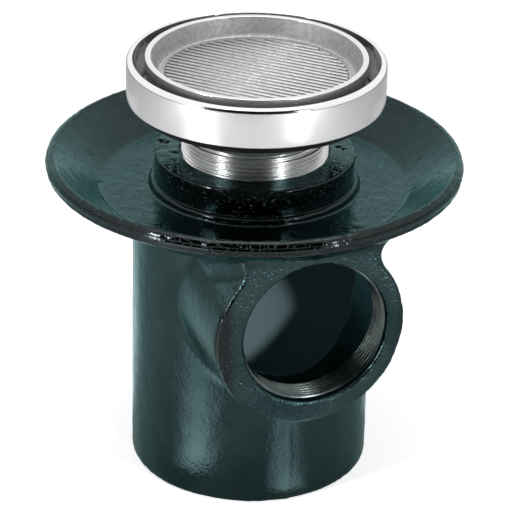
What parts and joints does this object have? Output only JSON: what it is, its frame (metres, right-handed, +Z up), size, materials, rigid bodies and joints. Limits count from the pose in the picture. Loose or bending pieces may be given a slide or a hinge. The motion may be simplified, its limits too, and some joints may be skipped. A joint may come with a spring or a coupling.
{
  "type": "floor drain",
  "caption": "Round floor drain with a height-adjustable polished strainer head, recessed tile tray, dished membrane flange, open bottom spigot and tapped side port.",
  "frame": {"origin": "centre of the open spigot rim, on the drain axis", "axes": "+Z up along the drain axis, -Y out of the side port"},
  "size_m": [0.213, 0.213, 0.2237],
  "materials": {
    "body_paint": "dark green-black gloss paint on sand-cast iron",
    "head_chrome": "mirror-polished frame ring, turned throat thread",
    "tray_casting": "satin casting with a polished rim"
  },
  "bodies": {
    "base": {"drain_body": "body_paint"},
    "head": {"strainer_head": "head_chrome", "tile_tray": "tray_casting"}
  },
  "joints": [
    {"name": "height_adjust", "type": "slide", "parent": "base", "child": "head", "axis": [0, 0, 1], "range_m": [-0.02, 0.014]}
  ]
}
